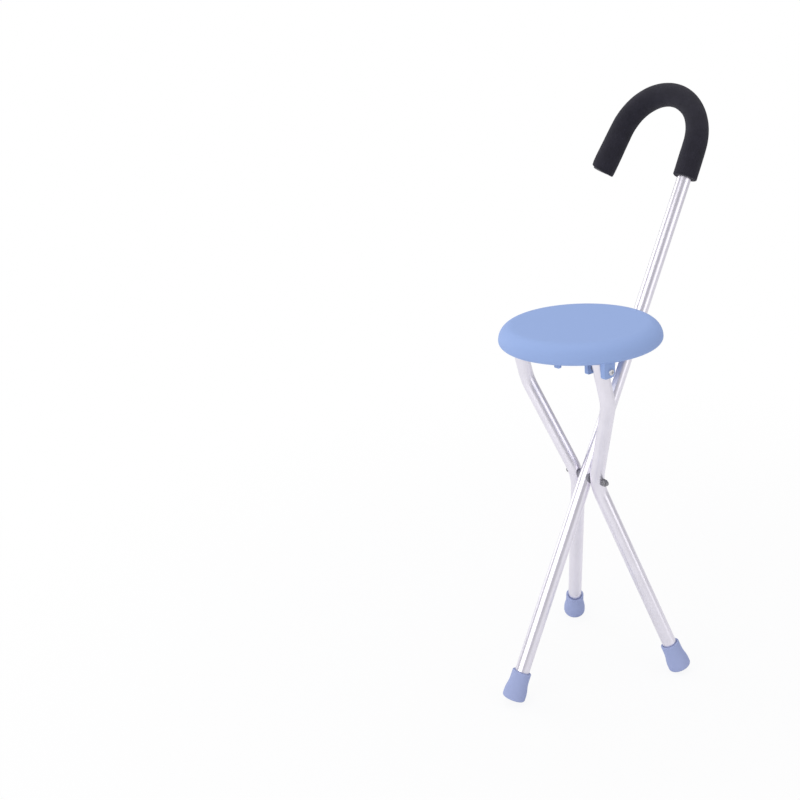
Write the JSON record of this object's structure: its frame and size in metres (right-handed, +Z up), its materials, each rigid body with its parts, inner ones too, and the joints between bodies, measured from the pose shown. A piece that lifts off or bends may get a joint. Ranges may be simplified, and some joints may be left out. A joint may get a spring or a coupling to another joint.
{
  "type": "walking stick seat",
  "caption": "Folding crook-handled walking cane with a round moulded seat on two bent legs, unfolding into a tripod stool.",
  "frame": {"origin": "on the floor under the pivot bolt, unfolded as a stool", "axes": "+X along the pivot bolt, away from the crook's free end; +Y to the back, where the cane's handle leans; +Z up"},
  "size_m": [0.2827, 0.4328, 0.7622],
  "materials": {
    "anodised_tube": "satin anodised",
    "foam": "closed-cell foam, matt and finely grained",
    "cap_plastic": "matt moulded",
    "seat_plastic": "satin moulded, fine grain",
    "ferrule_rubber": "satin moulded rubber",
    "dull_steel": "dull zinc plated",
    "bright_steel": "zinc plated",
    "nylon": "moulded grey nylon"
  },
  "bodies": {
    "stick": {"cane_tube": "anodised_tube", "foam_grip": "foam", "grip_end_cap": "cap_plastic", "cane_ferrule": "ferrule_rubber", "cane_ferrule_washer": "bright_steel", "catch_pin": "bright_steel", "catch_pin_caps": "nylon", "pivot_bolt": "dull_steel", "pivot_nut": "dull_steel", "pivot_washers": "dull_steel", "left_spacer": "nylon", "right_spacer": "nylon"},
    "left_leg": {"left_leg_tube": "anodised_tube", "left_leg_bush": "nylon", "left_leg_plug": "cap_plastic", "left_ferrule": "ferrule_rubber", "left_ferrule_washer": "bright_steel"},
    "right_leg": {"right_leg_tube": "anodised_tube", "right_leg_bush": "nylon", "right_leg_plug": "cap_plastic", "right_ferrule": "ferrule_rubber", "right_ferrule_washer": "bright_steel"},
    "seat": {"seat_shell": "seat_plastic", "hinge_screws": "bright_steel", "hinge_nuts": "bright_steel", "hinge_washers": "nylon"}
  },
  "joints": [
    {"name": "left_leg_hinge", "type": "hinge", "parent": "stick", "child": "left_leg", "pos_m": [0, 0, 0.27446], "axis": [-1, 0, 0], "range_deg": [0, 42.15]},
    {"name": "right_leg_hinge", "type": "hinge", "parent": "stick", "child": "right_leg", "pos_m": [0, 0, 0.27446], "axis": [-1, 0, 0], "range_deg": [0, 42.15]},
    {"name": "seat_hinge", "type": "hinge", "parent": "left_leg", "child": "seat", "pos_m": [-0.0745, -0.04233, 0.45146], "axis": [1, 0, 0], "range_deg": [0, 103.45]}
  ],
  "couplings": [
    {"joint": "right_leg_hinge", "follows": "left_leg_hinge", "ratio": 1},
    {"joint": "seat_hinge", "follows": "left_leg_hinge", "ratio": 2.4543}
  ]
}
